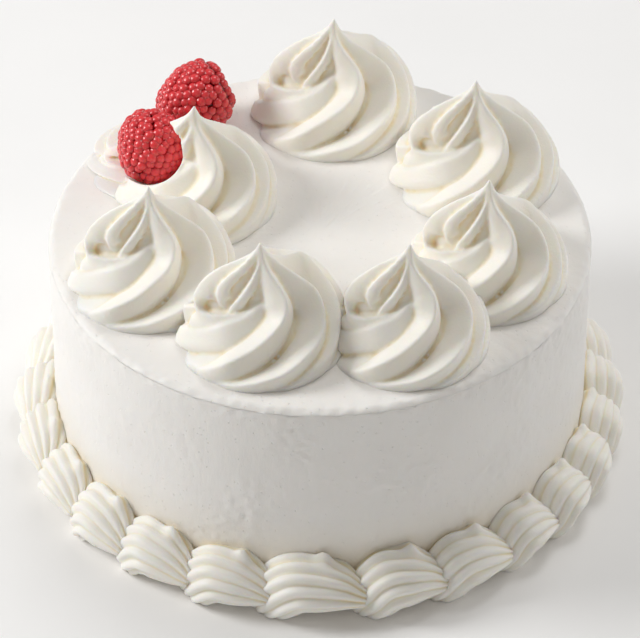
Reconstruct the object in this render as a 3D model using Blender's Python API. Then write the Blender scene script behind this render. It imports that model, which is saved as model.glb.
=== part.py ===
"""Round frosted cake with seven piped rosettes, a piped shell border and two berries.

Units are metres, +Z is up, the origin is the centre of the cake's flat bottom and
-Y is the front. Lengths below are written in millimetres and multiplied by MM.
"""
import math
import random

import bmesh
import bpy
from mathutils import Matrix, Vector

MM = 0.001
GAP = 0.3 * MM

# Cake body
BODY_RADIUS = 75 * MM
BODY_HEIGHT = 68 * MM
RIM_ROUND = 2.6 * MM
FOOT_ROUND = 1.0 * MM
BODY_SEGMENTS = 64
RIM_STEPS = 3

# Rosettes: name, x, y of the peak (mm), spin (degrees), size
ROSETTES = [
    ("rosette_front_left", -15.6, -44.4, 0.0, 1.0),
    ("rosette_front_right", 23.4, -44.6, 3.0, 0.97),
    ("rosette_right", 45.0, -18.0, -2.0, 0.98),
    ("rosette_back_right", 43.1, 26.4, 4.0, 1.04),
    ("rosette_back", 3.8, 55.0, 0.0, 1.04),
    ("rosette_left_back", -34.3, 15.0, -4.0, 0.99),
    ("rosette_left", -45.7, -20.6, 2.0, 1.0),
]
# A rosette gives way to the neighbour that lies over its edge
OVERLAPS = {
    "rosette_front_right": ["rosette_front_left"],
    "rosette_right": ["rosette_front_right"],
    "rosette_back_right": ["rosette_right"],
    "rosette_left": ["rosette_front_left"],
    "rosette_left_back": ["rosette_left"],
}
PEAK_HEIGHT = 31.5
ROSETTE_TRIANGLES = 580
BED_TRIANGLES = 420
CREAM_VOXEL = 0.5
BASE_CUT = 0.4
NEIGHBOUR_GROW = 1.025

# Ridge crests of a rosette as (azimuth in degrees, radius in mm, height in mm).
# The outer ridges share one spiral, whose azimuth is counted from that of the
# ridge on the peak; teeth of the piping nozzle stand 45 degrees apart.
NOZZLE_TEETH = 8
TOOTH_STEP = 360.0 / NOZZLE_TEETH
FIRST_TOOTH = 322.0
SPIRAL = [(-118, 22.3, 0.3), (-82, 21.8, 2.5), (-52, 20.5, 6.0), (-24, 18.3, 10.5),
          (-7, 15.2, 14.8), (1, 10.5, 19.8), (3, 5.0, 25.0), (0, 0.5, 30.6)]
SPIRAL_SIZE = [0.6, 0.95, 1.15, 1.15, 1.05, 0.8, 0.42, 0.08]
INNER_SPIRAL = [(-134, 20.8, 1.0), (-97, 18.8, 6.0), (-52, 16.0, 11.5), (-20, 12.6, 14.8),
                (-2, 9.6, 17.8), (4, 6.4, 21.6), (3, 3.2, 26.2), (0, 0.5, 30.6)]
INNER_SIZE = [0.6, 0.95, 1.1, 1.05, 0.9, 0.62, 0.3, 0.08]
START_LOWER = [(181, 21.3, 0.8), (190, 18.5, 5.0), (208, 14.2, 9.0),
               (228, 10.8, 12.3), (250, 8.0, 14.6), (275, 5.5, 15.8)]
START_LOWER_SIZE = [0.55, 0.8, 0.9, 0.9, 0.8, 0.6]
START_UPPER = [(172, 18.0, 5.0), (173, 16.8, 10.5), (185, 13.6, 11.4),
               (203, 9.8, 12.2), (232, 6.6, 13.6), (262, 4.5, 15.0)]
START_UPPER_SIZE = [0.6, 0.8, 0.8, 0.75, 0.7, 0.6]
START_UPPER_WIDTH = 1.5
PEAK_LEFT = [(189, 12.5, 11.0), (184, 15.0, 14.5), (180, 15.2, 17.8), (179, 12.5, 21.0),
             (180, 8.2, 24.2), (180, 3.8, 27.2), (180, 0.5, 30.6)]
PEAK_LEFT_SIZE = [0.5, 0.7, 0.8, 0.75, 0.55, 0.3, 0.08]
PEAK_MIDDLE = [(194, 10.8, 12.6), (198, 11.6, 16.4), (202, 10.6, 20.2),
               (205, 7.2, 24.0), (206, 3.4, 27.2), (205, 0.5, 30.6)]
PEAK_MIDDLE_SIZE = [0.45, 0.55, 0.55, 0.45, 0.25, 0.08]
PEAK_FRONT = [(212, 8.8, 12.6), (222, 8.6, 16.2), (236, 7.4, 19.8),
              (246, 5.2, 23.6), (248, 2.2, 27.6), (250, 0.5, 30.6)]
PEAK_FRONT_SIZE = [0.55, 0.65, 0.6, 0.45, 0.25, 0.08]
# Half section of a ridge: distance from its middle, depth below its crest (mm)
RIDGE_SECTION = [(0.0, 0.0), (1.2, 0.8), (3.4, 4.8), (4.2, 7.6), (2.0, 9.6)]
RIDGE_END = 1.2
RIDGE_HUB = Vector((0.0, 0.0, 2.0))
STEPS_PER_KEY = 1.35
# Core that carries the ridges: radius, height (mm)
CORE_PROFILE = [(17.0, 0.0), (15.5, 3.0), (12.0, 7.5), (8.5, 12.0), (6.0, 16.0),
                (4.0, 20.0), (2.2, 24.0), (1.0, 28.0), (0.7, 30.4)]
CORE_LEAN = (1.5, 1.0)
CORE_SEGMENTS = 20

# Flattened swirl under the berries: place of its middle (mm) and size of a rosette
BED_PLACE = (-44.0, 31.5)
BED_SPREAD = 0.94
BED_FLATTEN = 0.24
BED_CLEARANCE = 1.05

# Berries: name, middle above the cake's top (mm), direction from stalk to tip
BERRIES = [
    ("red_berry_back", (-34.8, 49.6, 12.2), (-0.86, -0.42, -0.28)),
    ("red_berry_front", (-47.6, 27.6, 10.9), (-0.05, -0.80, -0.60)),
]
BERRY_LENGTH = 23.0
BERRY_RADIUS = 10.2
BERRY_ROWS = 7
BERRY_PER_ROW = 12
DRUPELET_RISE = 1.3
BERRY_PROFILE = [(0.0, 0.62), (0.10, 0.90), (0.28, 1.0), (0.46, 0.97),
                 (0.64, 0.84), (0.80, 0.64), (0.93, 0.36), (1.0, 0.0)]

# Shell border. Azimuths are counted from the front, counter-clockwise from above;
# the shells between the last and the first one run round the back evenly.
SHELL_AZIMUTHS = [-102.0, -89.0, -76.0, -61.6, -47.3, -33.4, -18.0, -2.4, 13.6,
                  29.0, 43.6, 56.4, 68.5, 80.5, 92.5, 104.5]
SHELLS_AT_BACK = 10
SHELL_TEETH = 14
SHELL_GROOVE = 0.17
SHELL_SQUASH = 0.5
SHELL_PITCH = 14.6
# Stations along one shell: x along the border, height, star radius (mm), climb (degrees)
SHELL_STATIONS = [(-0.4, -0.2, 8.4, 90), (-1.4, 4.0, 10.6, 74), (-0.4, 8.4, 11.2, 38),
                  (4.6, 9.8, 9.6, 4), (11.6, 7.6, 5.0, -16)]
SHELL_OUT = 1.2
SHELL_TAIL_OUT = 2.4
SHELL_SIZE_SPREAD = 0.035
SHELL_LEAN_SPREAD = 5.0
SHELL_SEED = 11


def clear_scene():
    for item in list(bpy.data.objects):
        bpy.data.objects.remove(item)


def make_material(name, color, roughness):
    material = bpy.data.materials.new(name)
    material.use_nodes = True
    shader = material.node_tree.nodes["Principled BSDF"]
    shader.inputs["Base Color"].default_value = (*color, 1.0)
    shader.inputs["Roughness"].default_value = roughness
    shader.inputs["Metallic"].default_value = 0.0
    return material


def frosting_material():
    return make_material("smooth_frosting", (0.91, 0.90, 0.87), 0.55)


def cream_material():
    return make_material("piped_cream", (0.92, 0.89, 0.81), 0.45)


def berry_material():
    return make_material("berry_flesh", (0.62, 0.02, 0.04), 0.35)


def make_object(name, verts, faces, material=None):
    mesh = bpy.data.meshes.new(name)
    mesh.from_pydata([tuple(v) for v in verts], [], faces)
    mesh.update()
    item = bpy.data.objects.new(name, mesh)
    bpy.context.scene.collection.objects.link(item)
    if material:
        mesh.materials.append(material)
    return item


def bake(item):
    """Replace an object's mesh by what its modifiers make of it."""
    graph = bpy.context.evaluated_depsgraph_get()
    mesh = bpy.data.meshes.new_from_object(item.evaluated_get(graph))
    item.modifiers.clear()
    item.data = mesh


def combine(item, others, operation):
    """Apply one exact Boolean of an object with a list of others."""
    group = bpy.data.collections.new("operands")
    bpy.context.scene.collection.children.link(group)
    for other in others:
        group.objects.link(other)
    step = item.modifiers.new(operation.lower(), "BOOLEAN")
    step.operation = operation
    step.operand_type = "COLLECTION"
    step.collection = group
    step.solver = "EXACT"
    step.use_self = operation == "UNION"
    bake(item)
    for other in others:
        bpy.data.objects.remove(other)
    bpy.data.collections.remove(group)


def spline(keys, steps):
    """Points of a smooth curve through the keys, as a Catmull-Rom spline."""
    keys = [Vector(k) for k in keys]
    ends = [2 * keys[0] - keys[1]] + keys + [2 * keys[-1] - keys[-2]]
    spans = len(keys) - 1
    points = []
    for step in range(steps + 1):
        place = step / steps * spans
        span = min(int(place), spans - 1)
        t = place - span
        a, b, c, d = ends[span:span + 4]
        points.append(0.5 * (2 * b + (c - a) * t + (2 * a - 5 * b + 4 * c - d) * t ** 2
                             + (3 * b - a - 3 * c + d) * t ** 3))
    return points


def from_polar(azimuth, radius, height):
    angle = math.radians(azimuth)
    return Vector((radius * math.cos(angle), radius * math.sin(angle), height))


def skin(rings, start, end):
    """Faces over a row of closed rings of equal size, with a fan at each end."""
    count = len(rings[0])
    verts = [v for ring in rings for v in ring] + [start, end]
    faces = []
    for k in range(len(rings) - 1):
        for j in range(count):
            a = k * count + j
            b = k * count + (j + 1) % count
            faces.append((a, b, b + count))
            faces.append((a, b + count, a + count))
    first = len(rings) * count
    last = (len(rings) - 1) * count
    for j in range(count):
        n = (j + 1) % count
        faces.append((first, n, j))
        faces.append((first + 1, last + j, last + n))
    return verts, faces


def box_solid(name, low, high):
    mesh = bpy.data.meshes.new(name)
    shape = bmesh.new()
    bmesh.ops.create_cube(shape, size=1.0)
    low = Vector(low)
    high = Vector(high)
    for vert in shape.verts:
        vert.co = Vector([low[i] + (vert.co[i] + 0.5) * (high[i] - low[i]) for i in range(3)])
    shape.to_mesh(mesh)
    shape.free()
    item = bpy.data.objects.new(name, mesh)
    bpy.context.scene.collection.objects.link(item)
    return item


def turned_solid(name, profile, segments, material=None):
    """Solid of revolution; the profile runs from the bottom to the top, off the axis."""
    rings = []
    for radius, height in profile:
        rings.append([from_polar(360.0 * j / segments, radius, height) for j in range(segments)])
    verts, faces = skin(rings, Vector((0, 0, profile[0][1])), Vector((0, 0, profile[-1][1])))
    return make_object(name, verts, faces, material)


def build_body(material):
    profile = [(BODY_RADIUS - FOOT_ROUND, 0.0), (BODY_RADIUS, FOOT_ROUND)]
    for step in range(RIM_STEPS + 1):
        angle = math.radians(90.0 * step / RIM_STEPS)
        profile.append((BODY_RADIUS - RIM_ROUND * (1 - math.cos(angle)),
                        BODY_HEIGHT - RIM_ROUND * (1 - math.sin(angle))))
    return turned_solid("cake_body", profile, BODY_SEGMENTS, material)


def ridge(keys, sizes, turn=0.0, width=1.0):
    """One ridge of piped cream along a spiral crest, deep enough to reach the core."""
    steps = round(STEPS_PER_KEY * (len(keys) - 1))
    points = [from_polar(p[0] + turn, p[1], p[2]) for p in spline(keys, steps)]
    scales = [p[0] for p in spline([(s, 0, 0) for s in sizes], steps)]
    section = RIDGE_SECTION + [(-x, y) for x, y in reversed(RIDGE_SECTION[1:])]
    rings = []
    for k, point in enumerate(points):
        along = (points[min(k + 1, steps)] - points[max(k - 1, 0)]).normalized()
        out = point - RIDGE_HUB
        out = (out - along * out.dot(along)).normalized()
        across = along.cross(out)
        rings.append([point + scales[k] * (width * x * across - y * out) for x, y in section])
    middle = [sum(ring, Vector()) / len(section) for ring in (rings[0], rings[-1])]
    start = middle[0] - (points[1] - points[0]).normalized() * RIDGE_END * scales[0]
    end = middle[1] + (points[-1] - points[-2]).normalized() * RIDGE_END * scales[-1]
    return skin(rings, start, end)


def rosette_core():
    rings = []
    for radius, height in CORE_PROFILE:
        shift = 1 - height / PEAK_HEIGHT
        middle = Vector((CORE_LEAN[0] * shift, CORE_LEAN[1] * shift, 0.0))
        rings.append([middle + from_polar(360.0 * j / CORE_SEGMENTS, radius, height)
                      for j in range(CORE_SEGMENTS)])
    return skin(rings, Vector((CORE_LEAN[0], CORE_LEAN[1], 0.0)), Vector((0, 0, PEAK_HEIGHT)))


def rosette_ridges():
    parts = [ridge(INNER_SPIRAL, INNER_SIZE, FIRST_TOOTH)]
    for tooth in range(1, 6):
        parts.append(ridge(SPIRAL, SPIRAL_SIZE, FIRST_TOOTH + tooth * TOOTH_STEP))
    parts.append(ridge(SPIRAL[:3], SPIRAL_SIZE[:3], FIRST_TOOTH + 6 * TOOTH_STEP))
    parts.append(ridge(START_LOWER, START_LOWER_SIZE))
    parts.append(ridge(START_UPPER, START_UPPER_SIZE, width=START_UPPER_WIDTH))
    parts.append(ridge(PEAK_LEFT, PEAK_LEFT_SIZE))
    parts.append(ridge(PEAK_MIDDLE, PEAK_MIDDLE_SIZE))
    parts.append(ridge(PEAK_FRONT, PEAK_FRONT_SIZE))
    return parts


def drop_scraps(item):
    """Keep only the largest connected piece of a mesh and free it of slivers."""
    shape = bmesh.new()
    shape.from_mesh(item.data)
    bmesh.ops.remove_doubles(shape, verts=shape.verts, dist=0.000001)
    bmesh.ops.dissolve_degenerate(shape, edges=shape.edges, dist=0.00001)
    bmesh.ops.triangulate(shape, faces=shape.faces)
    left = set(shape.verts)
    groups = []
    while left:
        group = set()
        stack = [left.pop()]
        while stack:
            vert = stack.pop()
            group.add(vert)
            for edge in vert.link_edges:
                other = edge.other_vert(vert)
                if other in left:
                    left.discard(other)
                    stack.append(other)
        groups.append(group)
    groups.sort(key=len)
    for group in groups[:-1]:
        bmesh.ops.delete(shape, geom=list(group), context="VERTS")
    shape.to_mesh(item.data)
    shape.free()


def simplify(item, triangles):
    step = item.modifiers.new("simplify", "DECIMATE")
    count = sum(len(p.vertices) - 2 for p in item.data.polygons)
    step.ratio = min(1.0, triangles / count)
    step.use_collapse_triangulate = True
    bake(item)


def melt(item, size):
    """Turn overlapping or rough shells of a mesh into one closed skin."""
    step = item.modifiers.new("melt", "REMESH")
    step.mode = "VOXEL"
    step.voxel_size = size
    bake(item)


def rosette_form():
    """The rosette that all seven share, in metres, with its flat base at z = 0."""
    verts = []
    faces = []
    for part_verts, part_faces in [rosette_core()] + rosette_ridges():
        faces += [[len(verts) + i for i in face] for face in part_faces]
        verts += part_verts
    form = make_object("rosette_form", verts, faces)
    melt(form, CREAM_VOXEL)
    simplify(form, ROSETTE_TRIANGLES)
    combine(form, [box_solid("below", (-60, -60, -40), (60, 60, BASE_CUT))], "DIFFERENCE")
    drop_scraps(form)
    form.data.transform(Matrix.Translation((0.0, 0.0, -BASE_CUT)))
    form.data.transform(Matrix.Scale(MM, 4))
    return form


def placed_copy(name, form, place, spin, sizes, material=None):
    item = bpy.data.objects.new(name, form.data.copy())
    item.data.transform(Matrix.Diagonal((*sizes, 1.0)))
    item.data.transform(Matrix.Rotation(math.radians(spin), 4, "Z"))
    item.data.transform(Matrix.Translation(Vector(place)))
    bpy.context.scene.collection.objects.link(item)
    item.data.materials.clear()
    if material:
        item.data.materials.append(material)
    return item


def rosette_place(x, y):
    return (x * MM, y * MM, BODY_HEIGHT + GAP)


def rosette_copy(name, form, row, material=None, grow=1.0):
    size = row[4] * grow
    return placed_copy(name, form, rosette_place(row[1], row[2]), row[3], (size, size, size), material)


def cut_away(item, cutters):
    combine(item, cutters, "DIFFERENCE")
    drop_scraps(item)


def build_rosettes(form, material):
    rows = {row[0]: row for row in ROSETTES}
    for row in ROSETTES:
        item = rosette_copy(row[0], form, row, material)
        cutters = [rosette_copy("cutter", form, rows[name], grow=NEIGHBOUR_GROW)
                   for name in OVERLAPS.get(row[0], [])]
        if row[0] == "rosette_left_back":
            cutters += [berry_solid("cutter", *berry[1:], grow=GAP) for berry in BERRIES]
        if cutters:
            cut_away(item, cutters)


def build_bed(form, material):
    place = Vector(rosette_place(*BED_PLACE)) + Vector((0.0, 0.0, GAP))
    item = placed_copy("berry_bed", form, place, 0.0, (BED_SPREAD, BED_SPREAD, BED_FLATTEN))
    cutters = [berry_solid("cutter", *berry[1:], grow=2 * GAP) for berry in BERRIES]
    for row in ROSETTES:
        if row[0] in ("rosette_left_back", "rosette_left"):
            cutters.append(rosette_copy("cutter", form, row, grow=BED_CLEARANCE))
    cut_away(item, cutters)
    melt(item, CREAM_VOXEL * MM)
    simplify(item, BED_TRIANGLES)
    drop_scraps(item)
    item.data.materials.append(material)


def berry_radius(share):
    for (a, low), (b, high) in zip(BERRY_PROFILE, BERRY_PROFILE[1:]):
        if share <= b:
            return BERRY_RADIUS * (low + (high - low) * (share - a) / (b - a))
    return 0.0


def berry_solid(name, centre, direction, material=None, grow=0.0):
    """A berry of staggered rows of drupelets, each a raised point on its cell."""
    tip = Vector(direction).normalized()
    turn = Vector((0, 0, 1)).rotation_difference(tip).to_matrix().to_4x4()
    place = Matrix.Translation(Vector(centre) * MM + Vector((0, 0, BODY_HEIGHT + GAP)))
    length = BERRY_LENGTH + 2 * grow / MM
    verts = []
    faces = []

    def add(share, turns, rise=0.0):
        radius = berry_radius(share) + rise + grow / MM
        height = (share - 0.5) * length
        verts.append(from_polar(360.0 * turns, radius, height))
        return len(verts) - 1

    shares = [0.04 + 0.90 * row / BERRY_ROWS for row in range(BERRY_ROWS + 1)]
    rings = []
    for row, share in enumerate(shares):
        rings.append([add(share, (j + 0.5 * (row % 2)) / BERRY_PER_ROW) for j in range(BERRY_PER_ROW)])
    for row in range(BERRY_ROWS):
        shift = row % 2
        middle = (shares[row] + shares[row + 1]) / 2
        for j in range(BERRY_PER_ROW):
            low = (rings[row][j], rings[row][(j + 1) % BERRY_PER_ROW])
            high = (rings[row + 1][(j + shift) % BERRY_PER_ROW],
                    rings[row + 1][(j + shift + 1) % BERRY_PER_ROW])
            crest = add(middle, (j + 0.5 + 0.5 * shift) / BERRY_PER_ROW, DRUPELET_RISE)
            faces.append((low[0], low[1], crest))
            faces.append((low[1], high[0], crest))
            faces.append((high[0], low[0], crest))
            faces.append((low[1], high[1], high[0]))
    stalk = len(verts)
    verts.append(Vector((0, 0, -0.5 * length)))
    point = len(verts)
    verts.append(Vector((0, 0, 0.5 * length)))
    for j in range(BERRY_PER_ROW):
        n = (j + 1) % BERRY_PER_ROW
        faces.append((stalk, rings[0][n], rings[0][j]))
        faces.append((point, rings[-1][j], rings[-1][n]))
    item = make_object(name, verts, faces, material)
    item.data.transform(Matrix.Scale(MM, 4))
    item.data.transform(place @ turn)
    return item


def shell_azimuths():
    last = SHELL_AZIMUTHS[-1]
    step = (360.0 + SHELL_AZIMUTHS[0] - last) / (SHELLS_AT_BACK + 1)
    return SHELL_AZIMUTHS + [last + step * (k + 1) for k in range(SHELLS_AT_BACK)]


def shell_ring(station, push, size, stretch, lean, grow):
    """Star outline of one station, pressed flat where it meets the wall and the table."""
    x, z, radius, climb = station
    tilt = math.radians(climb)
    up = Vector((-math.sin(tilt), 0.0, math.cos(tilt)))
    out = Vector((0.0, -1.0, 0.0))
    half = math.pi / SHELL_TEETH
    angles = [half * j for j in range(-1, SHELL_TEETH + 1)] + [1.5 * math.pi]
    ring = []
    for j, angle in enumerate(angles):
        reach = radius * size * (1.0 - SHELL_GROOVE * ((j + 1) % 2))
        reach *= 1.0 - SHELL_SQUASH * max(0.0, -math.cos(angle))
        reach += grow / MM
        tooth = angle + math.radians(lean) * math.sin(angle)
        point = Vector((x * size, -push, z * size)) + reach * (math.cos(tooth) * up + math.sin(tooth) * out)
        point.x *= stretch
        wall = (BODY_RADIUS - math.sqrt((BODY_RADIUS + GAP) ** 2 - (point.x * MM) ** 2)) / MM
        point.y = min(point.y, wall + grow / MM)
        point.z = max(point.z, -grow / MM)
        ring.append(point)
    return ring


def shell_solid(name, azimuth, pitch, size, lean, material=None, grow=0.0):
    """A star of cream swept up, over and down to its tail along the border."""
    last = len(SHELL_STATIONS) - 1
    rings = []
    for k, station in enumerate(SHELL_STATIONS):
        push = SHELL_OUT + (SHELL_TAIL_OUT - SHELL_OUT) * k / last
        rings.append(shell_ring(station, push, size, pitch / SHELL_PITCH, lean, grow))
    start = sum(rings[0], Vector()) / len(rings[0])
    end = sum(rings[-1], Vector()) / len(rings[-1])
    verts, faces = skin(rings, start, end)
    item = make_object(name, verts, faces, material)
    item.data.transform(Matrix.Scale(MM, 4))
    item.data.transform(Matrix.Translation((0.0, -BODY_RADIUS, 0.0)))
    item.data.transform(Matrix.Rotation(math.radians(azimuth), 4, "Z"))
    return item


def build_shells(material):
    draw = random.Random(SHELL_SEED)
    azimuths = shell_azimuths()
    total = len(azimuths)
    rows = []
    for k, azimuth in enumerate(azimuths):
        pitch = (azimuths[(k + 1) % total] - azimuth) % 360.0
        size = 1.0 + draw.uniform(-SHELL_SIZE_SPREAD, SHELL_SIZE_SPREAD)
        rows.append((azimuth, pitch, size, draw.uniform(-SHELL_LEAN_SPREAD, SHELL_LEAN_SPREAD)))
    for k, row in enumerate(rows):
        item = shell_solid("shell_%02d" % (k + 1), *row, material=material)
        cut_away(item, [shell_solid("cutter", *rows[(k + 1) % total], grow=GAP)])


def main():
    clear_scene()
    frosting = frosting_material()
    cream = cream_material()
    red = berry_material()
    build_body(frosting)
    form = rosette_form()
    build_rosettes(form, cream)
    build_bed(form, cream)
    for name, middle, direction in BERRIES:
        berry_solid(name, middle, direction, red)
    build_shells(cream)
    bpy.data.objects.remove(form)


main()
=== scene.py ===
import math
import random

import bpy
import numpy as np
from mathutils import Matrix, Vector, noise


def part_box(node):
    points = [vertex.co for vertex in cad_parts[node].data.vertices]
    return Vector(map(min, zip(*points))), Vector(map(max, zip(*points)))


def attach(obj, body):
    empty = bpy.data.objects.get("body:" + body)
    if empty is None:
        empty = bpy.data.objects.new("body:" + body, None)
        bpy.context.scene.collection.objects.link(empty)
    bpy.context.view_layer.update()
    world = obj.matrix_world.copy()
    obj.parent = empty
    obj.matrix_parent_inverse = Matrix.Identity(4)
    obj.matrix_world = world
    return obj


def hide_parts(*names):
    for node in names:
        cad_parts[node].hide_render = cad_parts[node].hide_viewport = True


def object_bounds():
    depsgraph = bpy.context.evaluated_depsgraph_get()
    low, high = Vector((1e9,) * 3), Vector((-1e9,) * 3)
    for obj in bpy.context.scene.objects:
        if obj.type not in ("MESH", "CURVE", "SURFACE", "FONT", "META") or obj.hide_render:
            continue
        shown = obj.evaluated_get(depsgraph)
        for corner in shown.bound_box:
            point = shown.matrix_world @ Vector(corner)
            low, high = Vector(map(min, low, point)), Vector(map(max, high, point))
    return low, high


# Looks of the frosted cake. Lengths are in millimetres and multiplied by MM, except those of
# the camera, the lights and the floor, which are in metres.
MM = 0.001

# Piped rosettes: node, place, spin (degrees), size, height of the bulge at the far right, noise seed
ROSETTES = [
    ("rosette_front_left", (-15.6, -44.4), 0.0, 1.0, 5.0, 1),
    ("rosette_front_right", (23.4, -44.6), 3.0, 0.97, 1.5, 2),
    ("rosette_right", (45.0, -18.0), -2.0, 0.98, 2.5, 3),
    ("rosette_back_right", (43.1, 26.4), 4.0, 1.04, 2.5, 4),
    ("rosette_back", (3.8, 55.0), 0.0, 1.04, 3.5, 5),
    ("rosette_left_back", (-34.3, 15.0), -4.0, 0.99, 2.5, 6),
    ("rosette_left", (-45.7, -20.6), 2.0, 1.0, 4.0, 7),
]

# Height of a rosette's peak over the top of the cake
PEAK_HEIGHT = 33.3

# Five equal teeth and a shorter one go round the rosette; a bulge lifts its far right
TEETH = 5
SHORT_TOOTH_KEYS = 5
TOOTH_STEP = 45.0
FIRST_TOOTH = 322.0
BULGE_AZIMUTH = 55.0
BULGE_SPREAD = 48.0
BULGE_WIDENING = 0.017
BULGE_FULL_RADIUS = 14.0
BULGE_FULL_HEIGHT = 6.0

# Cross-sections of the ridges: half width and depth under the crest
ROOF = [(0.0, 0.0), (0.5, 0.3), (1.4, 1.1), (2.4, 2.1), (3.4, 3.3), (4.2, 4.7), (4.8, 6.4), (4.6, 8.5)]
BLUNT = [(0.0, 0.0), (0.5, 0.2), (1.6, 0.7), (3.0, 1.4), (4.2, 2.0), (5.2, 2.8), (5.6, 4.2), (5.0, 6.8)]
FLAT = [(0.0, 0.0), (1.6, 0.05), (3.0, 0.5), (4.0, 1.6), (4.4, 3.2), (4.4, 5.0), (4.0, 7.0)]

# Ridges: section, width, leans of the crest over the level (degrees) from its start to its
# end, then a row of (azimuth, distance from the axis, height, size) along the crest
TOOTH_RIDGE = (ROOF, 0.85, [45], [
    (-146, 21.3, -1.6, 0.4), (-123, 22.5, 0.8, 0.7), (-97, 22.5, 3.6, 0.85), (-81, 22.1, 5.4, 0.95),
    (-62, 21.0, 7.8, 1.0), (-42, 19.6, 9.8, 1.0), (-24, 17.7, 12.0, 1.0), (-11, 15.4, 15.0, 0.95),
    (-5, 12.8, 17.8, 0.85), (-3, 9.6, 20.9, 0.7), (-1, 5.8, 24.6, 0.45), (0, 2.6, 28.5, 0.25),
    (0, 0.2, 33.3, 0.08)])
INNER_RIDGE = (ROOF, 0.9, [45], [
    (214, 22.0, -0.5, 0.8), (228, 22.6, 3.0, 1.1), (242, 21.6, 6.5, 1.15), (255, 19.0, 9.0, 1.1),
    (270, 16.2, 11.3, 1.05), (283, 14.6, 13.2, 1.0), (294, 13.5, 15.0, 0.95), (303, 12.3, 17.0, 0.95),
    (309, 11.0, 19.0, 0.9), (312, 9.5, 20.7, 0.8), (311, 7.4, 22.7, 0.65), (303, 4.7, 25.4, 0.45),
    (290, 2.3, 28.6, 0.26), (280, 0.2, 33.3, 0.08)])
INNER_FOOT = (FLAT, 1.0, [72], [
    (198, 19.0, 0.4, 0.7), (212, 20.0, 1.8, 0.9), (230, 18.2, 4.0, 1.0), (250, 15.2, 6.0, 1.0),
    (268, 12.6, 7.8, 0.8)])
START_RIDGE = (BLUNT, 1.0, [54], [
    (175, 21.7, 2.6, 0.55), (184, 21.0, 4.4, 0.72), (203, 16.8, 8.4, 0.9), (220, 13.6, 11.3, 1.0),
    (234, 10.4, 13.0, 0.9), (247, 8.0, 14.5, 0.75), (261, 6.4, 16.0, 0.55), (275, 5.7, 17.0, 0.3)])
START_TOP = (FLAT, 1.1, [70], [
    (172, 17.6, 6.0, 0.7), (180, 16.6, 9.6, 0.85), (195, 13.2, 11.9, 0.85), (213, 10.2, 12.8, 0.8),
    (238, 7.4, 14.4, 0.65), (258, 5.6, 15.8, 0.4)])
LEFT_FOLD = (ROOF, 0.8, [80, 70, 35, 20, 20, 20, 20], [
    (236, 7.8, 14.2, 0.4), (218, 10.6, 13.2, 0.6), (203, 14.2, 12.5, 0.75), (191, 17.3, 12.6, 0.8),
    (183, 18.0, 15.4, 0.7), (180, 16.4, 19.2, 0.62), (178, 13.6, 22.0, 0.54), (176, 9.9, 24.8, 0.45),
    (178, 5.2, 28.0, 0.33), (180, 1.5, 30.7, 0.2), (180, 0.2, 33.3, 0.08)])
FOLD_POCKET = (FLAT, 1.0, [40], [
    (168, 10.5, 13.4, 0.7), (182, 11.2, 14.0, 0.75), (194, 10.8, 13.4, 0.7), (206, 10.0, 12.4, 0.6)])
LOBE_RIM = (ROOF, 0.9, [25], [
    (204, 9.8, 12.8, 0.34), (198, 12.0, 15.6, 0.4), (195, 12.0, 19.4, 0.38), (196, 9.6, 23.0, 0.32),
    (201, 5.6, 26.8, 0.24), (205, 2.0, 30.4, 0.15), (205, 0.2, 33.3, 0.08)])
LOBE_RIDGE = (ROOF, 0.9, [25], [
    (212, 10.0, 13.6, 0.26), (217, 9.2, 16.0, 0.3), (226, 7.6, 19.0, 0.3), (237, 5.6, 22.2, 0.28),
    (246, 3.9, 24.8, 0.24), (256, 2.1, 28.4, 0.18), (250, 0.2, 33.3, 0.08)])
LOBE_FACE = (FLAT, 1.0, [25], [
    (205, 7.0, 13.0, 0.6), (206, 6.2, 17.0, 0.5), (208, 4.8, 20.0, 0.42), (214, 2.6, 24.0, 0.3),
    (225, 0.9, 28.0, 0.16), (225, 0.1, 31.3, 0.05)])
FRONT_FACE = (FLAT, 1.0, [25], [
    (246, 5.4, 14.0, 0.55), (252, 4.4, 17.0, 0.48), (258, 3.4, 20.0, 0.42), (264, 2.2, 24.0, 0.32),
    (270, 1.0, 28.0, 0.18), (270, 0.1, 31.6, 0.06)])
SINGLE_RIDGES = [INNER_RIDGE, INNER_FOOT, START_RIDGE, START_TOP, LEFT_FOLD, FOLD_POCKET,
                 LOBE_RIM, LOBE_RIDGE, LOBE_FACE, FRONT_FACE]
RIDGE_STEPS = 44
RIDGE_END = 1.2

# Cone of cream inside the ridges: radius and height, and how far its foot lies off the axis
CORE_PROFILE = [(16.0, 0.0), (14.6, 3.0), (11.8, 7.0), (9.0, 11.0), (6.4, 15.0), (4.2, 19.0),
                (2.4, 23.0), (1.1, 27.0), (0.3, 31.0)]
CORE_LEAN = (1.5, 1.0)
CORE_SEGMENTS = 48

# Fusing, unevenness and painted crevice shade of the cream; TOP_SINK is how deep it sits in the frosting
CREAM_VOXEL = 0.5
CREAM_SMOOTHING = 1
CREAM_WOBBLE = 0.35
CREAM_WOBBLE_SCALE = 9.0
NOISE_SEED = 7
TOP_SINK = 0.8
CAVITY_REACH = 16
CAVITY_DEPTH = 0.9
CAVITY_LEVEL = 0.35

# Flattened swirl under the berries
BED_PLACE = (-44.0, 31.5)
BED_SPREAD = 0.94
BED_FLATTEN = 0.24
BED_SEED = 9
# Reach and depth of the painted crevice shade on the swirl
BED_CAVITY_REACH = 24
BED_CAVITY_DEPTH = 0.7

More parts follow.
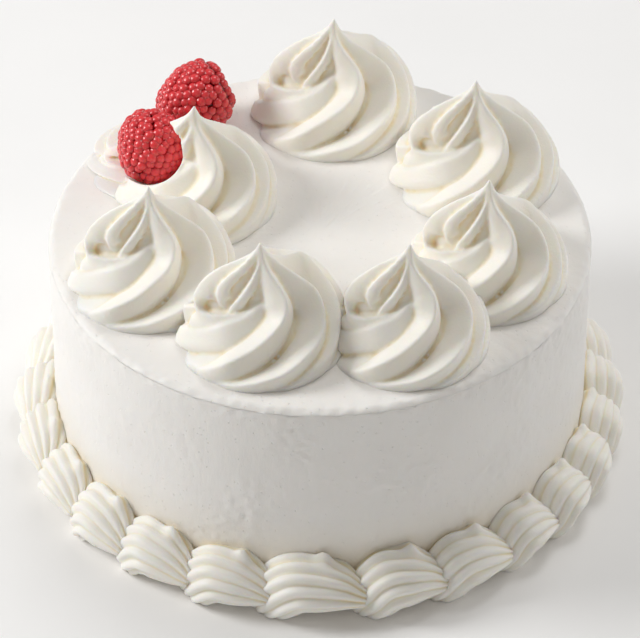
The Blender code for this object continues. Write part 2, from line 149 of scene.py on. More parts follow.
# Berries: node, middle above the cake's top, direction from stalk to tip, length and width factors, seed
BACK_BERRY = ("red_berry_back", (-36.6, 47.0, 9.6), (-0.86, -0.42, -0.28), 1.0, 1.03, 3)
FRONT_BERRY = ("red_berry_front", (-47.0, 25.2, 8.5), (-0.46, -0.84, -0.26), 0.86, 1.1, 4)
DRUPELET_SPAN = 20.6
BERRY_RADIUS = 10.2
BERRY_PROFILE = [(0.0, 0.62), (0.10, 0.90), (0.28, 1.0), (0.46, 0.97),
                 (0.64, 0.84), (0.80, 0.64), (0.93, 0.36), (1.0, 0.0)]

# The core under the drupelets: its share of the berry's radius, and where it starts and ends
CORE_SHARE = 0.86
BERRY_START = 0.03
BERRY_CORE_END = 0.88
BERRY_CORE_RINGS = 16
BERRY_CORE_SEGMENTS = 32

# Drupelets: rows, how they crowd at the tip, size, and how they sit
DRUPELET_ROWS = 13
DRUPELET_CROWDING = 1.5
DRUPELET_SIZE = 1.62
DRUPELET_SIZES = (0.92, 1.1)
DRUPELET_FLATNESS = 0.8
DRUPELET_SPACING = 0.74
DRUPELET_TURN = 0.07
DRUPELET_SLIP = 0.3
DRUPELET_SEGMENTS = 12
DRUPELET_RINGS = 8
LEVEL_SHARE = 0.42
TIP_SLOPE = 1.6
TIP_RADIUS = 3.0

# Hollow that the front berry leaves in the rosette beside it
DENTED_ROSETTE = "rosette_left_back"
DENT_AXIS = (0.0, -0.76, 0.64)
DENT_PUSH = (0.75, -0.25, -0.6)
DENT_REACH = 16.0
DENT_RADIUS = 9.6

# Shell border: azimuths from the front, round to the right. As in the photo, the left half
# lies up to 2.5 degrees from the solids' places.
SHELL_AZIMUTHS = [-104.0, -91.0, -78.2, -64.0, -49.8, -35.6, -19.8, -3.4, 14.4,
                  29.0, 43.6, 56.4, 68.5, 80.5, 92.5, 104.5]
SHELLS_AT_BACK = 10
SHELL_TEETH = 17
SHELL_GROOVE = 0.15
SHELL_GROOVE_SOFTNESS = 0.05
SHELL_SQUASH = 0.5
SHELL_PITCH = 14.6

# Stations along a shell: x along the border, distance out from the wall, height, star radius, climb
SHELL_STATIONS = [(-9.0, 0.6, -3.0, 1.0, 62), (-7.4, 0.8, -1.2, 5.6, 56), (-4.4, 0.9, 2.6, 9.4, 44),
                  (-0.4, 1.0, 6.8, 10.8, 22), (3.8, 1.6, 7.2, 10.0, 4), (8.6, 2.6, 6.8, 7.6, -10),
                  (13.6, 4.6, 6.2, 3.6, -14)]

# Small lump by the wall on each shell: x, distance out, width, height
SHELL_LUMP = (5.8, 1.4, 1.9, 2.6)

# How deep the shells sit in the wall, how they vary, and how finely they are made
WALL_SINK = 0.6
SHELL_SIZE_SPREAD = 0.035
SHELL_LEAN_SPREAD = 5.0
SHELL_SEED = 11
SHELL_STEPS = 32
SHELL_POINTS_PER_TOOTH = 6
SHELL_WOBBLE = 0.25
SHELL_WOBBLE_SCALE = 6.0
SHELL_NOISE_SEED = 20

# Painted warm shade of a shell: on crests, added in grooves, at the tail's end, and towards wall and tail
CREST_SHADE = 0.12
GROOVE_SHADE = 0.5
TAIL_SHADE = 0.5
WALL_AND_TAIL_SHADE = 0.25
TAIL_START = 8.0
TAIL_LENGTH = 8.0
WALL_SHADE_REACH = 2.5

# Frosting of the body
BODY_SEGMENTS = 520
SIDE_RINGS = 84
RIM_ROUND = 2.6
FOOT_ROUND = 1.0
RIM_STEPS = 10
FOOT_STEPS = 4
TOP_RINGS = 30
TOP_MIDDLE = 2.0

# Relief of the frosting: inset that keeps it inside the solid, soft waves, grain, pebbles on
# the rim, pinholes and scraper strokes in patches
BODY_INSET = 0.4
WAVE_SCALE = 24.0
SIDE_WAVE = 0.16
TOP_WAVE = 0.12
GRAIN_SCALE = 2.2
GRAIN_HEIGHT = 0.05
PEBBLE_HEIGHT = 0.4
PEBBLE_REACH = (2.5, 3.0)
PEBBLE_INSET = 1.0
TOP_RELIEF = 0.6
PATCH_SCALE = 19.0
PATCH_CONTRAST = 1.8
PIT_CELL = 4.2
PIT_RADIUS = 0.55
PIT_DEPTH = 0.5
STROKE_SCALE = 2.4
STROKE_HEIGHT = 0.34
STROKE_STRETCH = 0.6
STROKE_SHARPNESS = 8

# Camera, fitted to the photo; it looks at a point CAMERA_DIP degrees under the cake's top middle
CAMERA_DISTANCE = 1.100
CAMERA_ELEVATION = 38.9
CAMERA_DIP = 1.24
CAMERA_LENS = 224.9
CAMERA_SENSOR = 36.0

# Lights: name, place (m), width (m), power (W)
LIGHTS = [
    ("key", (-1.00, 0.06, 0.70), 0.5, 8.8),
    ("top", (0.30, 0.45, 1.25), 0.6, 4.4),
    ("right", (0.95, 0.30, 0.35), 0.5, 2.2),
]
WORLD_COLOR = (1.0, 0.965, 0.915)
WORLD_STRENGTH = 0.29
LIGHT_TARGET = (0.0, 0.0, 0.05)
FLOOR_HALF = 3.0


def node_tree(material):
    material.use_nodes = True
    tree = material.node_tree
    return tree, tree.nodes["Principled BSDF"]


def new_node(tree, kind, **inputs):
    node = tree.nodes.new(kind)
    for name, value in inputs.items():
        node.inputs[name.replace("_", " ")].default_value = value
    return node


def ramp(tree, source, stops):
    """Colour ramp fed by a socket; stops are (position, colour)."""
    node = tree.nodes.new("ShaderNodeValToRGB")
    elements = node.color_ramp.elements
    while len(elements) < len(stops):
        elements.new(0.5)
    for element, (position, color) in zip(elements, stops):
        element.position = position
        element.color = (*color, 1.0)
    tree.links.new(source, node.inputs["Fac"])
    return node.outputs["Color"]


def mix_color(tree, factor, first, second):
    node = tree.nodes.new("ShaderNodeMix")
    node.data_type = "RGBA"
    values = ((node.inputs["Factor"], factor), (node.inputs[6], first), (node.inputs[7], second))
    for socket, value in values:
        if isinstance(value, bpy.types.NodeSocket):
            tree.links.new(value, socket)
        elif isinstance(value, tuple):
            socket.default_value = (*value, 1.0)
        else:
            socket.default_value = value
    return node.outputs[2]


def place_coordinates(tree, scale=(1.0, 1.0, 1.0)):
    """Object coordinates in millimetres, stretched by scale."""
    source = tree.nodes.new("ShaderNodeTexCoord")
    mapping = tree.nodes.new("ShaderNodeMapping")
    mapping.inputs["Scale"].default_value = [s / MM for s in scale]
    tree.links.new(source.outputs["Object"], mapping.inputs["Vector"])
    return mapping.outputs["Vector"]


def noise_value(tree, vector, scale, detail=2.0, roughness=0.5):
    node = new_node(tree, "ShaderNodeTexNoise", Scale=scale, Detail=detail, Roughness=roughness)
    tree.links.new(vector, node.inputs["Vector"])
    return node.outputs["Fac"]


def add_bump(tree, height, strength, distance, below=None):
    node = tree.nodes.new("ShaderNodeBump")
    node.inputs["Strength"].default_value = strength
    node.inputs["Distance"].default_value = distance * MM
    tree.links.new(height, node.inputs["Height"])
    if below:
        tree.links.new(below, node.inputs["Normal"])
    return node.outputs["Normal"]


def cream_material():
    """Piped cream: bright crests and painted warm shade in the grooves, faintly grained."""
    material = bpy.data.materials.new("piped_cream_look")
    tree, shader = node_tree(material)
    crevice_shade = tree.nodes.new("ShaderNodeAttribute")
    crevice_shade.attribute_name = "crevice_shade"
    # Painted shade: warm yellow in creases and grooves, lighter again in the deepest pockets
    color = ramp(tree, crevice_shade.outputs["Fac"], [
        (0.0, (0.985, 0.948, 0.89)), (0.4, (0.98, 0.932, 0.85)), (0.72, (0.93, 0.78, 0.48)),
        (0.9, (0.97, 0.91, 0.80))])
    place = place_coordinates(tree)
    patches = noise_value(tree, place, 0.12)
    color = mix_color(tree, ramp(tree, patches, [(0.4, (0.0,) * 3), (0.7, (0.35,) * 3)]),
                      color, (0.94, 0.92, 0.86))
    tree.links.new(color, shader.inputs["Base Color"])
    shader.inputs["Roughness"].default_value = 0.42
    shader.inputs["Specular IOR Level"].default_value = 0.35
    shader.inputs["Subsurface Weight"].default_value = 0.5
    shader.inputs["Subsurface Radius"].default_value = (1.0, 0.78, 0.5)
    shader.inputs["Subsurface Scale"].default_value = 0.003
    grain = noise_value(tree, place, 1.6, detail=4.0, roughness=0.6)
    tree.links.new(add_bump(tree, grain, 0.5, 0.2), shader.inputs["Normal"])
    return material


def frosting_material():
    """Smoothed white frosting with pinholes, fine scraper marks and a pebbly rim."""
    material = bpy.data.materials.new("smooth_frosting_look")
    tree, shader = node_tree(material)
    place = place_coordinates(tree)
    patches = noise_value(tree, place, 0.05, detail=3.0)
    color = ramp(tree, patches, [(0.3, (0.90, 0.881, 0.852)), (0.7, (0.935, 0.916, 0.887))])
    height = tree.nodes.new("ShaderNodeSeparateXYZ")
    tree.links.new(place, height.inputs["Vector"])
    # Painted warm bounce light off the shell border, growing from 30 mm down to 12 mm
    low = tree.nodes.new("ShaderNodeMapRange")
    for name, value in (("From Min", 30.0), ("From Max", 12.0), ("To Min", 0.0), ("To Max", 0.55)):
        low.inputs[name].default_value = value
    tree.links.new(height.outputs["Z"], low.inputs["Value"])
    color = mix_color(tree, low.outputs["Result"], color, (0.93, 0.865, 0.74))
    tree.links.new(color, shader.inputs["Base Color"])
    shader.inputs["Roughness"].default_value = 0.5
    shader.inputs["Specular IOR Level"].default_value = 0.3
    shader.inputs["Subsurface Weight"].default_value = 0.25
    shader.inputs["Subsurface Radius"].default_value = (1.0, 0.85, 0.7)
    shader.inputs["Subsurface Scale"].default_value = 0.0018
    streaks = noise_value(tree, place_coordinates(tree, (1.0, 1.0, 0.3)), 0.9, detail=4.0, roughness=0.65)
    normal = add_bump(tree, streaks, 0.5, 0.2)
    pits = new_node(tree, "ShaderNodeTexVoronoi", Scale=0.55, Randomness=1.0)
    tree.links.new(place, pits.inputs["Vector"])
    hole = ramp(tree, pits.outputs["Distance"], [(0.05, (0.0,) * 3), (0.16, (1.0,) * 3)])
    normal = add_bump(tree, hole, 0.6, 0.25, normal)
    tree.links.new(normal, shader.inputs["Normal"])
    return material


def berry_material():
    """Moist red drupelets, with painted shade between them and painted light on their tops."""
    material = bpy.data.materials.new("berry_flesh_look")
    tree, shader = node_tree(material)
    drupelet_shading = tree.nodes.new("ShaderNodeAttribute")
    drupelet_shading.attribute_name = "drupelet_shading"
    # Painted shade and light: darkest on the core and where drupelets meet, palest on their tops
    color = ramp(tree, drupelet_shading.outputs["Fac"], [
        (0.45, (0.16, 0.002, 0.006)), (0.66, (0.55, 0.012, 0.02)), (0.95, (0.80, 0.045, 0.055))])
    tree.links.new(color, shader.inputs["Base Color"])
    shader.inputs["Roughness"].default_value = 0.26
    shader.inputs["Subsurface Weight"].default_value = 0.3
    shader.inputs["Subsurface Radius"].default_value = (1.0, 0.12, 0.1)
    shader.inputs["Subsurface Scale"].default_value = 0.0015
    shader.inputs["Coat Weight"].default_value = 0.4
    shader.inputs["Coat Roughness"].default_value = 0.14
    fuzz = noise_value(tree, place_coordinates(tree), 1.2, detail=3.0)
    tree.links.new(add_bump(tree, fuzz, 0.4, 0.15), shader.inputs["Normal"])
    return material


def floor_material():
    material = bpy.data.materials.new("floor_look")
    tree, shader = node_tree(material)
    grain = noise_value(tree, place_coordinates(tree), 0.02, detail=3.0)
    color = ramp(tree, grain, [(0.3, (0.955, 0.955, 0.955)), (0.7, (0.975, 0.975, 0.975))])
    tree.links.new(color, shader.inputs["Base Color"])
    shader.inputs["Roughness"].default_value = 0.9
    return material


def mesh_object(name, verts, faces, material=None):
    mesh = bpy.data.meshes.new(name)
    mesh.from_pydata(np.asarray(verts, dtype=float).tolist(), [], faces)
    mesh.update()
    item = bpy.data.objects.new(name, mesh)
    bpy.context.scene.collection.objects.link(item)
    if material:
        mesh.materials.append(material)
    return item


def bake(item):
    """Replace an object's mesh by what its modifiers make of it."""
    graph = bpy.context.evaluated_depsgraph_get()
    mesh = bpy.data.meshes.new_from_object(item.evaluated_get(graph))
    item.modifiers.clear()
    item.data = mesh


def shade_smooth(item):
    item.data.polygons.foreach_set("use_smooth", [True] * len(item.data.polygons))


def vert_array(mesh):
    co = np.empty(len(mesh.vertices) * 3)
    mesh.vertices.foreach_get("co", co)
    return co.reshape(-1, 3)


def set_verts(mesh, co):
    mesh.vertices.foreach_set("co", np.asarray(co).ravel())
    mesh.update()


def write_attribute(mesh, name, values):
    attribute = mesh.attributes.new(name, "FLOAT", "POINT")
    attribute.data.foreach_set("value", values)


def mark_cavities(item, reach, depth):
    """Painted crevice shade: 0 on crests to 1 in grooves, from how far the mesh lies under its own blur.
    """
    mesh = item.data
    co = vert_array(mesh)
    edges = np.empty(len(mesh.edges) * 2, dtype=np.int64)
    mesh.edges.foreach_get("vertices", edges)
    first, second = edges[0::2], edges[1::2]
    count = np.bincount(edges, minlength=len(co)).clip(1)[:, None]
    blurred = co.copy()
    for _ in range(reach):
        total = np.zeros_like(blurred)
        for axis in range(3):
            total[:, axis] = (np.bincount(first, blurred[second, axis], len(co))
                              + np.bincount(second, blurred[first, axis], len(co)))
        blurred = 0.4 * blurred + 0.6 * total / count
    normals = np.empty(len(co) * 3)
    mesh.vertices.foreach_get("normal", normals)
    sunk = ((blurred - co) * normals.reshape(-1, 3)).sum(axis=1)
    share = CAVITY_LEVEL + (1.0 - CAVITY_LEVEL) * sunk / (depth * MM)
    write_attribute(mesh, "crevice_shade", np.clip(share, 0.0, 1.0))


def spline(keys, steps):
    """Points of a Catmull-Rom curve through the keys."""
    keys = np.array(keys, dtype=float)
    ends = np.vstack([2 * keys[0] - keys[1], keys, 2 * keys[-1] - keys[-2]])
    place = np.linspace(0, len(keys) - 1, steps + 1)
    span = np.minimum(place.astype(int), len(keys) - 2)
    t = (place - span)[:, None]
    a, b, c, d = (ends[span + k] for k in range(4))
    return 0.5 * (2 * b + (c - a) * t + (2 * a - 5 * b + 4 * c - d) * t ** 2
                  + (3 * b - a - 3 * c + d) * t ** 3)


def skin(rings, start, end):
    """Vertices and faces over a row of closed rings, with a fan at each end."""
    count = len(rings[0])
    verts = np.vstack([np.vstack(rings), [start, end]])
    faces = []
    for k in range(len(rings) - 1):
        for j in range(count):
            a = k * count + j
            b = k * count + (j + 1) % count
            faces.append((a, b, b + count, a + count))
    first = len(rings) * count
    last = (len(rings) - 1) * count
    for j in range(count):
        n = (j + 1) % count
        faces.append((first, n, j))
        faces.append((first + 1, last + j, last + n))
    return verts, faces


def unit(vector):
    return vector / np.linalg.norm(vector)


def ridge(section, width, leans, keys, turn=0.0):
    """A blade of cream whose crest follows the keys, given round the rosette's axis."""
    path = spline(keys, RIDGE_STEPS)
    angle = np.radians(path[:, 0] + turn)
    points = np.stack([path[:, 1] * np.cos(angle), path[:, 1] * np.sin(angle), path[:, 2]], axis=1)
    lean_places = np.linspace(0, 1, len(leans))
    tilt = np.radians(np.interp(np.linspace(0, 1, RIDGE_STEPS + 1), lean_places, leans))
    outline = section + [(-x, y) for x, y in reversed(section[1:])]
    rings = []
    for k, point in enumerate(points):
        along = unit(points[min(k + 1, RIDGE_STEPS)] - points[max(k - 1, 0)])
        level = math.cos(tilt[k])
        out = np.array([math.cos(angle[k]) * level, math.sin(angle[k]) * level, math.sin(tilt[k])])
        out = unit(out - along * out.dot(along))
        across = np.cross(along, out)
        rings.append([point + path[k, 3] * (width * x * across - y * out) for x, y in outline])
    start = np.mean(rings[0], axis=0) - unit(points[1] - points[0]) * RIDGE_END * path[0, 3]
    end = np.mean(rings[-1], axis=0) + unit(points[-1] - points[-2]) * RIDGE_END * path[-1, 3]
    return skin(rings, start, end)


def rosette_core():
    angles = np.linspace(0, 2 * math.pi, CORE_SEGMENTS, endpoint=False)
    rings = []
    for radius, height in CORE_PROFILE:
        shift = 1 - height / PEAK_HEIGHT
        rings.append(np.stack([CORE_LEAN[0] * shift + radius * np.cos(angles),
                               CORE_LEAN[1] * shift + radius * np.sin(angles),
                               np.full(CORE_SEGMENTS, height)], axis=1))
    return skin(rings, (*CORE_LEAN, 0.0), (0.0, 0.0, CORE_PROFILE[-1][1] + 1.0))


def rosette_parts():
    section, width, leans, keys = TOOTH_RIDGE
    parts = [rosette_core()]
    for tooth in range(1, TEETH + 1):
        parts.append(ridge(section, width, leans, keys, FIRST_TOOTH + tooth * TOOTH_STEP))
    last_turn = FIRST_TOOTH + (TEETH + 1) * TOOTH_STEP
    parts.append(ridge(section, width, leans, keys[:SHORT_TOOTH_KEYS], last_turn))
    return parts + [ridge(*row) for row in SINGLE_RIDGES]


def joined(parts):
    verts = []
    faces = []
    total = 0
    for part_verts, part_faces in parts:
        faces += [tuple(total + i for i in face) for face in part_faces]
        verts.append(part_verts)
        total += len(part_verts)
    return np.vstack(verts), faces


def melt(item):
    """Fuses overlapping parts into one skin and softens its creases."""
    step = item.modifiers.new("melt", "REMESH")
    step.mode = "VOXEL"
    step.voxel_size = CREAM_VOXEL * MM
    soften = item.modifiers.new("soften", "SMOOTH")
    soften.iterations = CREAM_SMOOTHING
    soften.factor = 0.5
    bake(item)


def rosette_form():
    verts, faces = joined(rosette_parts())
    item = mesh_object("rosette_form", verts * MM, faces)
    melt(item)
    return item


def wobble(co, seed, amount, scale):
    """Soft unevenness, in millimetres, the same for every run."""
    offset = Vector((17.3 * seed, 5.1 * seed, 3.7 * seed))
    moved = [noise.noise_vector(Vector(p) / scale + offset) for p in co]
    return co + amount * np.array(moved)


def bulged(co, height):
    """Raises and widens the far right of a rosette, where its last coil lies on the first."""
    azimuth = np.degrees(np.arctan2(co[:, 1], co[:, 0]))
    radius = np.hypot(co[:, 0], co[:, 1])
    share = np.exp(-((azimuth - BULGE_AZIMUTH) / BULGE_SPREAD) ** 2)
    share *= np.clip(radius / BULGE_FULL_RADIUS, 0, 1) ** 2
    wider = 1.0 + BULGE_WIDENING * height * share
    lift = height * share * np.clip(co[:, 2] / BULGE_FULL_HEIGHT, 0, 1)
    return np.stack([co[:, 0] * wider, co[:, 1] * wider, co[:, 2] + lift], axis=1)


def dented(co, rosette_place):
    """Squashes cream along DENT_PUSH out of the hollow in which the front berry lies."""
    middle = np.array(FRONT_BERRY[1]) - np.array([*rosette_place, 0.0])
    axis = unit(np.array(DENT_AXIS))
    push = unit(np.array(DENT_PUSH) - axis * np.dot(DENT_PUSH, axis))
    offset = co - middle
    along = np.clip(offset @ axis, 0.0, DENT_REACH)
    offset = offset - along[:, None] * axis
    across = offset @ push
    inside = DENT_RADIUS ** 2 - ((offset ** 2).sum(axis=1) - across ** 2)
    step = np.where(inside > across ** 2, np.sqrt(np.maximum(inside, 0.0)) - across, 0.0)
    return co + step[:, None] * push


def build_rosettes(form, cream, top, highest):
    """Copies of the rosette form, each one turned, sized and made uneven in its own way."""
    base = vert_array(form.data) / MM
    for node, (x, y), spin, size, bulge, seed in ROSETTES:
        co = bulged(wobble(base, seed, CREAM_WOBBLE, CREAM_WOBBLE_SCALE), bulge)
        angle = math.radians(spin)
        turned = np.stack([co[:, 0] * math.cos(angle) - co[:, 1] * math.sin(angle),
                           co[:, 0] * math.sin(angle) + co[:, 1] * math.cos(angle), co[:, 2]], axis=1)
        turned *= size
        if node == DENTED_ROSETTE:
            turned = dented(turned, (x, y))
        placed = turned * MM + np.array([x * MM, y * MM, top])
        placed[:, 2] = np.maximum(placed[:, 2], top - TOP_SINK * MM)
        tall = placed[:, 2].max() - top
        placed[:, 2] = top + (placed[:, 2] - top) * min(1.0, (highest - top) / tall)
        item = bpy.data.objects.new(node + "_look", form.data.copy())
        bpy.context.scene.collection.objects.link(item)
        set_verts(item.data, placed)
        if node == DENTED_ROSETTE:
            melt(item)
        item.data.materials.clear()
        item.data.materials.append(cream)
        mark_cavities(item, CAVITY_REACH, CAVITY_DEPTH)
        shade_smooth(item)
        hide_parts(node)
        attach(item, "root")


def build_bed(form, cream, top):
    """The rosette form again, pressed flat."""
    base = vert_array(form.data) / MM
    pressed = np.array([BED_SPREAD, BED_SPREAD, BED_FLATTEN])
    co = wobble(base, BED_SEED, CREAM_WOBBLE, CREAM_WOBBLE_SCALE) * pressed
    placed = co * MM + np.array([BED_PLACE[0] * MM, BED_PLACE[1] * MM, top])
    placed[:, 2] = np.maximum(placed[:, 2], top - TOP_SINK * MM)
    item = bpy.data.objects.new("berry_bed_look", form.data.copy())
    bpy.context.scene.collection.objects.link(item)
    set_verts(item.data, placed)
    item.data.materials.clear()
    item.data.materials.append(cream)
    mark_cavities(item, BED_CAVITY_REACH, BED_CAVITY_DEPTH)
    shade_smooth(item)
    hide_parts("berry_bed")
    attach(item, "root")


def shell_rows():
    """Azimuth, pitch, size and lean of every shell; size and lean are drawn as in the solids."""
    last = SHELL_AZIMUTHS[-1]
    step = (360.0 + SHELL_AZIMUTHS[0] - last) / (SHELLS_AT_BACK + 1)
    azimuths = SHELL_AZIMUTHS + [last + step * (k + 1) for k in range(SHELLS_AT_BACK)]
    draw = random.Random(SHELL_SEED)
    rows = []
    for k, azimuth in enumerate(azimuths):
        pitch = (azimuths[(k + 1) % len(azimuths)] - azimuth) % 360.0
        size = 1.0 + draw.uniform(-SHELL_SIZE_SPREAD, SHELL_SIZE_SPREAD)
        rows.append((azimuth, pitch, size, draw.uniform(-SHELL_LEAN_SPREAD, SHELL_LEAN_SPREAD)))
    return rows


def shell_mesh(pitch, size, lean, wall_radius):
    """One shell at the origin, with its wall side cut to the body, and the painted shade of its vertices.
    """
    angles = np.linspace(0, 2 * math.pi, SHELL_POINTS_PER_TOOTH * SHELL_TEETH, endpoint=False)
    crest = np.sqrt(np.cos(angles * SHELL_TEETH / 2) ** 2 + SHELL_GROOVE_SOFTNESS)
    tooth = angles + math.radians(lean)
    rings = []
    for x, push, z, radius, climb in spline(SHELL_STATIONS, SHELL_STEPS):
        tilt = math.radians(climb)
        reach = radius * size * (1.0 - SHELL_GROOVE * (1.0 - crest))
        reach *= 1.0 - SHELL_SQUASH * np.maximum(0.0, -np.cos(angles))
        ups = reach * np.cos(tooth)
        outs = reach * np.sin(tooth)
        ring = np.stack([x * size - math.sin(tilt) * ups, -push - outs,
                         z * size + math.cos(tilt) * ups], axis=1)
        ring[:, 0] *= pitch / SHELL_PITCH
        wall = wall_radius - np.sqrt(wall_radius ** 2 - ring[:, 0] ** 2)
        ring[:, 1] = np.minimum(ring[:, 1], wall + WALL_SINK)
        lump_x, lump_out, lump_width, lump_height = SHELL_LUMP
        near = ((ring[:, 0] - lump_x) ** 2 + (ring[:, 1] + lump_out) ** 2) / lump_width ** 2
        ring[:, 2] += np.where(ring[:, 2] > z, lump_height * np.exp(-near), 0.0)
        ring[:, 2] = np.maximum(ring[:, 2], 0.0)
        rings.append(ring)
    verts, faces = skin(rings, rings[0].mean(axis=0), rings[-1].mean(axis=0))
    # Painted shade: darker in the grooves and at the tail's end
    shell_shade = np.tile(CREST_SHADE + GROOVE_SHADE * np.clip(1.0 - crest, 0, 1), SHELL_STEPS + 1)
    return verts, faces, np.append(shell_shade, [CREST_SHADE, TAIL_SHADE])


def build_shells(cream, wall_radius):
    for k, (azimuth, pitch, size, lean) in enumerate(shell_rows()):
        node = "shell_%02d" % (k + 1)
        verts, faces, shell_shade = shell_mesh(pitch, size, lean, wall_radius)
        # Painted shade, deeper towards the tail's end and the wall
        deep = np.clip((verts[:, 0] - TAIL_START) / TAIL_LENGTH, 0, 1)
        deep += np.clip(1.0 + verts[:, 1] / WALL_SHADE_REACH, 0, 1)
        verts = wobble(verts, SHELL_NOISE_SEED + k, SHELL_WOBBLE, SHELL_WOBBLE_SCALE)
        verts[:, 2] = np.maximum(verts[:, 2], 0.0)
        item = mesh_object(node + "_look", verts * MM, faces, cream)
        item.data.transform(Matrix.Translation((0.0, -wall_radius * MM, 0.0)))
        item.data.transform(Matrix.Rotation(math.radians(azimuth), 4, "Z"))
        write_attribute(item.data, "crevice_shade", np.clip(shell_shade + WALL_AND_TAIL_SHADE * deep, 0.0, 1.0))
        shade_smooth(item)
        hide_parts(node)
        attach(item, "root")


def sphere(around, rows):
    angles = np.linspace(0, 2 * math.pi, around, endpoint=False)
    rings = []
    for k in range(1, rows):
        polar = math.pi * (1 - k / rows)
        rings.append(np.stack([math.sin(polar) * np.cos(angles), math.sin(polar) * np.sin(angles),
                               np.full(around, math.cos(polar))], axis=1))
    return skin(rings, (0.0, 0.0, -1.0), (0.0, 0.0, 1.0))


def berry_radius(share):
    positions, factors = zip(*BERRY_PROFILE)
    return BERRY_RADIUS * float(np.interp(share, positions, factors))


def build_berry(node, middle, direction, long, wide, seed, flesh, top):
    """Closely packed drupelets in staggered rows on a core."""
    draw = random.Random(seed)
    ball_verts, ball_faces = sphere(DRUPELET_SEGMENTS, DRUPELET_RINGS)
    around = np.linspace(0, 2 * math.pi, BERRY_CORE_SEGMENTS, endpoint=False)
    span = DRUPELET_SPAN * long
    core = []
    for share in np.linspace(BERRY_START, BERRY_CORE_END, BERRY_CORE_RINGS):
        radius = CORE_SHARE * wide * berry_radius(share)
        core.append(np.stack([radius * np.cos(around), radius * np.sin(around),
                              np.full(BERRY_CORE_SEGMENTS, (share - 0.5) * span)], axis=1))
    parts = [skin(core, core[0].mean(axis=0), core[-1].mean(axis=0))]
    # Painted shade on the berry: the core is darkest, each drupelet lighter towards its top
    drupelet_shadings = [np.full(len(parts[0][0]), -1.0)]
    for row in range(DRUPELET_ROWS + 1):
        share = BERRY_START + (1 - BERRY_START) * (1 - (1 - row / DRUPELET_ROWS) ** DRUPELET_CROWDING)
        radius = max(wide * berry_radius(share) - DRUPELET_SIZE * DRUPELET_FLATNESS, 0.0)
        height = (share - 0.5) * span
        count = max(1, round(math.pi * radius / (DRUPELET_SIZE * DRUPELET_SPACING)))
        for j in range(count):
            angle = 2 * math.pi * (j + 0.5 * (row % 2)) / count
            angle += draw.uniform(-DRUPELET_TURN, DRUPELET_TURN)
            sideways = min(1.0, radius / TIP_RADIUS)
            normal = Vector((sideways * math.cos(angle), sideways * math.sin(angle),
                             TIP_SLOPE * (share - LEVEL_SHARE))).normalized()
            turn = np.array(Vector((0, 0, 1)).rotation_difference(normal).to_matrix())
            size = DRUPELET_SIZE * draw.uniform(*DRUPELET_SIZES)
            centre = np.array([radius * math.cos(angle), radius * math.sin(angle),
                               height + draw.uniform(-DRUPELET_SLIP, DRUPELET_SLIP)])
            shaped = ball_verts * size * np.array([1.0, 1.0, DRUPELET_FLATNESS])
            parts.append((shaped @ turn.T + centre, ball_faces))
            drupelet_shadings.append(ball_verts[:, 2])
    verts, faces = joined(parts)
    item = mesh_object(node + "_look", verts * MM, faces, flesh)
    write_attribute(item.data, "drupelet_shading", 0.5 + 0.5 * np.concatenate(drupelet_shadings))
    aim = Vector((0, 0, 1)).rotation_difference(Vector(direction).normalized()).to_matrix().to_4x4()
    item.data.transform(Matrix.Translation(Vector(middle) * MM + Vector((0, 0, top))) @ aim)
    shade_smooth(item)
    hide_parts(node)
    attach(item, "root")


def body_profile(radius, height):
    """Radius and height of the frosting's rings, from the foot over the rim to the middle."""
    profile = [(radius - FOOT_ROUND * (1 - math.sin(a)), FOOT_ROUND * (1 - math.cos(a)))
               for a in np.linspace(0, math.pi / 2, FOOT_STEPS)]
    profile += [(radius, z) for z in np.linspace(FOOT_ROUND, height - RIM_ROUND, SIDE_RINGS)[1:-1]]
    profile += [(radius - RIM_ROUND * (1 - math.cos(a)), height - RIM_ROUND * (1 - math.sin(a)))
                for a in np.linspace(0, math.pi / 2, RIM_STEPS)]
    profile += [(r, height) for r in np.linspace(radius - RIM_ROUND, TOP_MIDDLE, TOP_RINGS)[1:]]
    return profile


def frosting_relief(point):
    """Height of the scraper strokes less the depth of the pinholes at a point, in patches."""
    place = Vector(point)
    patch = min(1.0, max(0.0, 0.5 + PATCH_CONTRAST * noise.noise(place / PATCH_SCALE)))
    distance = noise.voronoi(place / PIT_CELL)[0][0] * PIT_CELL
    pit = PIT_DEPTH * math.exp(-(distance / PIT_RADIUS) ** 2)
    stretched = Vector((place.x, place.y, place.z * STROKE_STRETCH))
    crest = 1.0 - abs(noise.noise(stretched / STROKE_SCALE))
    return patch * (STROKE_HEIGHT * crest ** STROKE_SHARPNESS - pit)


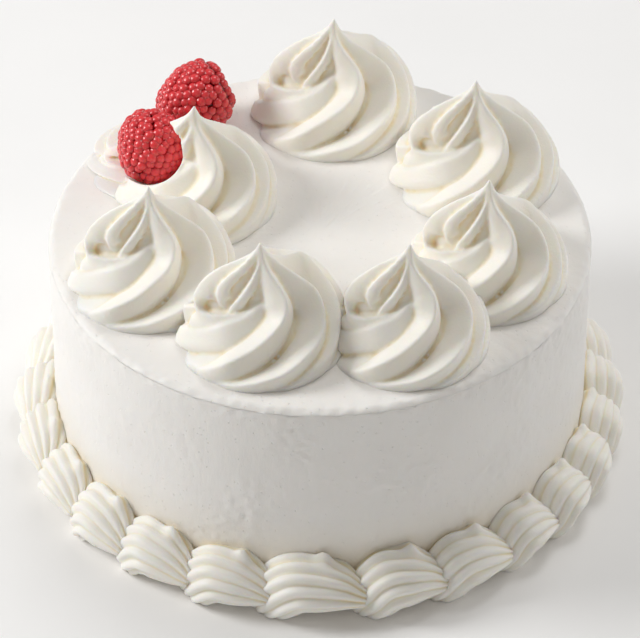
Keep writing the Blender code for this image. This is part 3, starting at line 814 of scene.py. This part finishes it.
def build_body(frosting):
    """The body with its relief; gives back the height of its top in metres and its radius."""
    low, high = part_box("cake_body")
    radius = (high[0] - low[0]) / 2 / MM
    height = high[2] / MM
    angles = np.linspace(0, 2 * math.pi, BODY_SEGMENTS, endpoint=False)
    rings = [np.stack([r * np.cos(angles), r * np.sin(angles), np.full(BODY_SEGMENTS, z)], axis=1)
             for r, z in body_profile(radius, height)]
    verts, faces = skin(rings, (0.0, 0.0, 0.0), (0.0, 0.0, height))
    out = verts * np.array([1.0, 1.0, 0.0])
    out /= np.maximum(np.linalg.norm(out, axis=1), 0.001)[:, None]
    soft = np.array([noise.noise(Vector(v) / WAVE_SCALE) for v in verts])
    fine = np.array([noise.noise(Vector(v) / GRAIN_SCALE) for v in verts])
    relief = np.array([frosting_relief(v) for v in verts])
    inward = radius - PEBBLE_INSET - np.hypot(verts[:, 0], verts[:, 1])
    downward = height - PEBBLE_INSET - verts[:, 2]
    rim = np.exp(-(inward / PEBBLE_REACH[0]) ** 2 - (downward / PEBBLE_REACH[1]) ** 2)
    pebbles = PEBBLE_HEIGHT * fine * rim
    side = verts[:, 2] < height - 0.5 * RIM_ROUND
    push = -BODY_INSET - SIDE_WAVE * soft + GRAIN_HEIGHT * fine + relief + pebbles
    lift = -BODY_INSET - TOP_WAVE * np.abs(soft) + pebbles + TOP_RELIEF * relief
    verts = verts + out * np.where(side & (verts[:, 2] > FOOT_ROUND), push, 0.0)[:, None]
    verts[:, 2] += np.where(side, 0.0, lift)
    item = mesh_object("cake_body_look", verts * MM, faces, frosting)
    shade_smooth(item)
    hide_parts("cake_body")
    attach(item, "root")
    return height * MM, radius


def build_floor():
    corners = [(-1, -1, 0), (1, -1, 0), (1, 1, 0), (-1, 1, 0)]
    floor = mesh_object("floor", FLOOR_HALF * np.array(corners), [(0, 1, 2, 3)], floor_material())


def area_light(name, place, target, size, power):
    light = bpy.data.lights.new(name, "AREA")
    light.shape = "DISK"
    light.size = size
    light.energy = power
    item = bpy.data.objects.new(name, light)
    item.location = place
    item.rotation_euler = (Vector(target) - Vector(place)).to_track_quat("-Z", "Y").to_euler()
    bpy.context.scene.collection.objects.link(item)


def build_lights():
    world = bpy.data.worlds.new("studio")
    world.use_nodes = True
    background = world.node_tree.nodes["Background"]
    background.inputs["Color"].default_value = (*WORLD_COLOR, 1.0)
    background.inputs["Strength"].default_value = WORLD_STRENGTH
    bpy.context.scene.world = world
    for name, place, size, power in LIGHTS:
        area_light(name, place, LIGHT_TARGET, size, power)
    bpy.context.scene.view_settings.view_transform = "Standard"


def build_camera(top):
    camera = bpy.data.cameras.new("camera")
    camera.lens = CAMERA_LENS
    camera.sensor_width = CAMERA_SENSOR
    item = bpy.data.objects.new("camera", camera)
    tilt = math.radians(CAMERA_ELEVATION)
    item.location = (0.0, -CAMERA_DISTANCE * math.cos(tilt), top + CAMERA_DISTANCE * math.sin(tilt))
    item.rotation_euler = (math.radians(90.0 - CAMERA_ELEVATION - CAMERA_DIP), 0.0, 0.0)
    bpy.context.scene.collection.objects.link(item)
    bpy.context.scene.camera = item


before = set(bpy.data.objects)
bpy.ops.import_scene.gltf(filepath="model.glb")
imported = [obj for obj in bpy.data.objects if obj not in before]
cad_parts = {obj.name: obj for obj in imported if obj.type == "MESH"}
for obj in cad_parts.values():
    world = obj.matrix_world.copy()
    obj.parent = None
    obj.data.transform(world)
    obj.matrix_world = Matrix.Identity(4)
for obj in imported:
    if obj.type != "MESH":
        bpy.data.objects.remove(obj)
cad_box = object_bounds()
noise.seed_set(NOISE_SEED)
cream = cream_material()
top, body_radius = build_body(frosting_material())
form = rosette_form()
build_rosettes(form, cream, top, cad_box[1][2])
build_bed(form, cream, top)
bpy.data.objects.remove(form)
flesh = berry_material()
for berry in (BACK_BERRY, FRONT_BERRY):
    build_berry(*berry, flesh, top)
build_shells(cream, body_radius)
build_floor()
build_lights()
build_camera(top)
